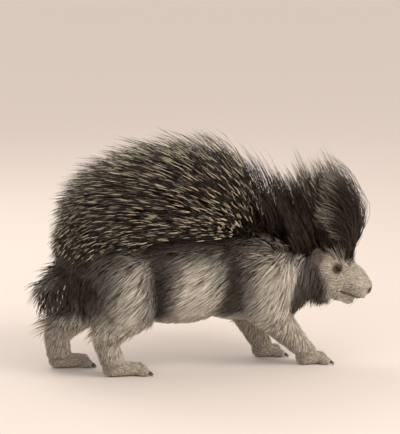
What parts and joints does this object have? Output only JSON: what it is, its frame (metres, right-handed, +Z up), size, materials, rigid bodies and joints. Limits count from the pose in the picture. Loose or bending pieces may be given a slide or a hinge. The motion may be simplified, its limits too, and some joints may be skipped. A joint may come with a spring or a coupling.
{
  "type": "crested porcupine",
  "caption": "Life-size still model of a crested porcupine in mid stride, head low, with raised crest and long swept-back quills over the back and rump.",
  "frame": {"origin": "on the floor, under the middle of the bounding box", "axes": "+X towards the nose, +Y towards the animal's left, +Z up"},
  "size_m": [0.8126, 0.4318, 0.5487],
  "materials": {
    "quill": "satin horn quills in bands of blackish brown and cream",
    "bristle": "coarse dark bristles with pale tips",
    "hide": "dark skin under short matt fur",
    "face_fur": "short close fur",
    "leg_fur": "short bristly fur",
    "ear_skin": "bare soft skin",
    "eye": "wet gloss",
    "claw_horn": "worn horn"
  },
  "bodies": {
    "root": {"torso": "quill", "neck": "bristle", "head": "face_fur", "tail": "quill", "hindleg_right": "leg_fur", "hindleg_left": "leg_fur", "foreleg_right": "leg_fur", "foreleg_left": "leg_fur", "hindfoot_right": "leg_fur", "hindfoot_left": "leg_fur", "forefoot_right": "leg_fur", "forefoot_left": "leg_fur", "ear_left": "ear_skin", "ear_right": "ear_skin", "eye_left": "eye", "eye_right": "eye", "claw_hind_right_1": "claw_horn", "claw_hind_right_2": "claw_horn", "claw_hind_right_3": "claw_horn", "claw_hind_right_4": "claw_horn", "claw_hind_right_5": "claw_horn", "claw_fore_right_1": "claw_horn", "claw_fore_right_2": "claw_horn", "claw_fore_right_3": "claw_horn", "claw_fore_right_4": "claw_horn", "claw_hind_left_1": "claw_horn", "claw_hind_left_2": "claw_horn", "claw_hind_left_3": "claw_horn", "claw_hind_left_4": "claw_horn", "claw_hind_left_5": "claw_horn", "claw_fore_left_1": "claw_horn", "claw_fore_left_2": "claw_horn", "claw_fore_left_3": "claw_horn", "claw_fore_left_4": "claw_horn"}
  },
  "joints": []
}
